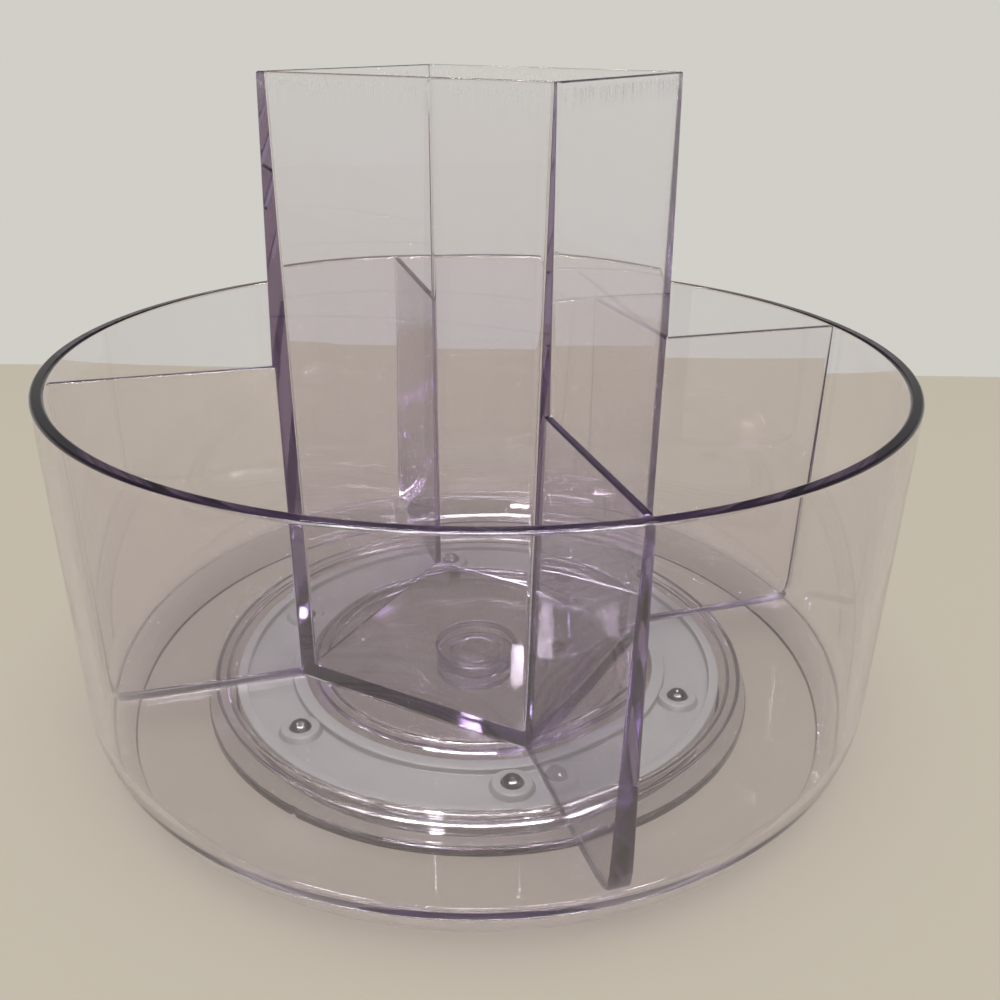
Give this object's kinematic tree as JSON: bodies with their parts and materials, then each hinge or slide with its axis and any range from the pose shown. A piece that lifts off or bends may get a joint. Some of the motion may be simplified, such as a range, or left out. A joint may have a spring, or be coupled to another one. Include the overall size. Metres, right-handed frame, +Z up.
{
  "type": "rotating makeup organizer",
  "caption": "Clear round bin that turns on a ball race over a small base disc, with a loose insert of dividers round a tall open square tube.",
  "frame": {"origin": "on the turning axis, in the plane of the base disc's foot", "axes": "+Z up along the turning axis; X and Y square to the walls of the insert's tube at rest"},
  "size_m": [0.2299, 0.23, 0.1774],
  "materials": {
    "clear_plastic": "polished, clear with a faint violet tint",
    "frosted_plastic": "frosted, translucent grey",
    "steel": "polished"
  },
  "bodies": {
    "base": {"base_disc": "clear_plastic"},
    "cage": {"ball_cage": "frosted_plastic"},
    "bin": {"bin": "clear_plastic", "hub_plug": "clear_plastic"},
    "insert": {"divider_insert": "clear_plastic"},
    "ball_1": {"ball_1": "steel"},
    "ball_2": {"ball_2": "steel"},
    "ball_3": {"ball_3": "steel"},
    "ball_4": {"ball_4": "steel"},
    "ball_5": {"ball_5": "steel"},
    "ball_6": {"ball_6": "steel"}
  },
  "joints": [
    {"name": "bin_spin", "type": "hinge", "parent": "base", "child": "bin", "pos_m": [0, 0, 0.00817], "axis": [0, 0, 1], "continuous": true},
    {"name": "cage_spin", "type": "hinge", "parent": "base", "child": "cage", "pos_m": [0, 0, 0.00817], "axis": [0, 0, 1], "continuous": true},
    {"name": "insert_lift", "type": "slide", "parent": "bin", "child": "insert", "axis": [0, 0, 1], "range_m": [0, 0.1]},
    {"name": "ball_1_roll", "type": "hinge", "parent": "cage", "child": "ball_1", "pos_m": [0.06207, 0.00729, 0.00817], "axis": [-0.9932, -0.1167, 0], "continuous": true},
    {"name": "ball_2_roll", "type": "hinge", "parent": "cage", "child": "ball_2", "pos_m": [0.02472, 0.0574, 0.00817], "axis": [-0.3955, -0.9184, 0], "continuous": true},
    {"name": "ball_3_roll", "type": "hinge", "parent": "cage", "child": "ball_3", "pos_m": [-0.03735, 0.05011, 0.00817], "axis": [0.5976, -0.8018, 0], "continuous": true},
    {"name": "ball_4_roll", "type": "hinge", "parent": "cage", "child": "ball_4", "pos_m": [-0.06207, -0.00729, 0.00817], "axis": [0.9932, 0.1167, 0], "continuous": true},
    {"name": "ball_5_roll", "type": "hinge", "parent": "cage", "child": "ball_5", "pos_m": [-0.02472, -0.0574, 0.00817], "axis": [0.3955, 0.9184, 0], "continuous": true},
    {"name": "ball_6_roll", "type": "hinge", "parent": "cage", "child": "ball_6", "pos_m": [0.03735, -0.05011, 0.00817], "axis": [-0.5976, 0.8018, 0], "continuous": true}
  ],
  "couplings": [
    {"joint": "cage_spin", "follows": "bin_spin", "ratio": 0.5},
    {"joint": "ball_1_roll", "follows": "bin_spin", "ratio": 9.8425},
    {"joint": "ball_2_roll", "follows": "bin_spin", "ratio": 9.8425},
    {"joint": "ball_3_roll", "follows": "bin_spin", "ratio": 9.8425},
    {"joint": "ball_4_roll", "follows": "bin_spin", "ratio": 9.8425},
    {"joint": "ball_5_roll", "follows": "bin_spin", "ratio": 9.8425},
    {"joint": "ball_6_roll", "follows": "bin_spin", "ratio": 9.8425}
  ]
}
